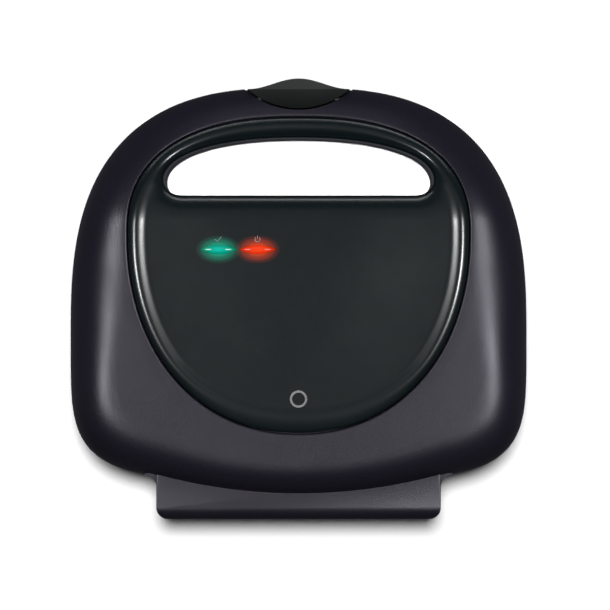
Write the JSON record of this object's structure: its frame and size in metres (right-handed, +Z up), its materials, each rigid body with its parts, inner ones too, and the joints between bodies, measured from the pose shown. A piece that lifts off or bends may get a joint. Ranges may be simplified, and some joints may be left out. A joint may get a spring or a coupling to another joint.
{
  "type": "donut maker",
  "caption": "Clamshell donut maker with a D-shaped handle opening, hinged lid, front latch, indicator lenses and ring-shaped cooking cavities.",
  "frame": {"origin": "centre of the overall footprint, on the surface that the feet stand on", "axes": "+Z up, +Y towards the hinge tail, the handle and latch at -Y, +X to the right seen from the handle; the lid is closed"},
  "size_m": [0.2348, 0.226, 0.0882],
  "materials": {
    "shell_black": "soft-touch fine matte",
    "panel_gloss": "high gloss",
    "latch_grey": "satin",
    "frame_black": "matte heat-resistant moulding",
    "plate_coating": "black non-stick coating on cast aluminium",
    "heater_steel": "satin tube",
    "reflector_sheet": "bright sheet",
    "screw_steel": "zinc plated",
    "spring_steel": "pressed strip",
    "rubber_black": "matte rubber",
    "lens_green": "translucent, lit, emissive",
    "lens_red": "translucent, lit, emissive",
    "lamp_glass": "clear bulb",
    "ceramic": "glazed ceramic",
    "wire_sleeve": "braided glass fibre sleeve",
    "emblem_silver": "satin",
    "foil": "satin foil"
  },
  "bodies": {
    "base": {"base_housing": "shell_black", "base_inner_frame": "frame_black", "base_plate": "plate_coating", "base_heater": "heater_steel", "base_clamp_bars": "spring_steel", "base_plate_screws": "screw_steel", "base_reflector": "reflector_sheet", "base_screws": "screw_steel", "base_catch": "spring_steel", "thermostat": "ceramic", "thermostat_bracket": "spring_steel", "thermal_fuse": "ceramic", "terminal_block": "ceramic", "base_wiring": "wire_sleeve", "link_wires": "wire_sleeve", "cord_gland": "rubber_black", "foot_front_left": "rubber_black", "foot_front_right": "rubber_black", "foot_rear_left": "rubber_black", "foot_rear_right": "rubber_black", "foot_screws": "screw_steel", "rating_plate": "foil", "hinge_pin_left": "screw_steel", "hinge_pin_right": "screw_steel"},
    "lid": {"lid_housing": "shell_black", "lid_panel": "panel_gloss", "lid_inner_frame": "frame_black", "lid_plate": "plate_coating", "lid_heater": "heater_steel", "lid_clamp_bars": "spring_steel", "lid_plate_screws": "screw_steel", "lid_reflector": "reflector_sheet", "lid_screws": "screw_steel", "panel_screws": "screw_steel", "ready_lens": "lens_green", "power_lens": "lens_red", "ready_lamp": "lamp_glass", "power_lamp": "lamp_glass", "lamp_holder": "ceramic", "lid_wiring": "wire_sleeve", "emblem": "emblem_silver", "latch_pin": "screw_steel"},
    "latch": {"latch": "latch_grey"}
  },
  "joints": [
    {"name": "lid_hinge", "type": "hinge", "parent": "base", "child": "lid", "pos_m": [0, 0.102, 0.0465], "axis": [-1, 0, 0], "range_deg": [0, 100]},
    {"name": "latch_pivot", "type": "hinge", "parent": "lid", "child": "latch", "pos_m": [0, -0.103, 0.06], "axis": [1, 0, 0], "range_deg": [0, 10]}
  ]
}
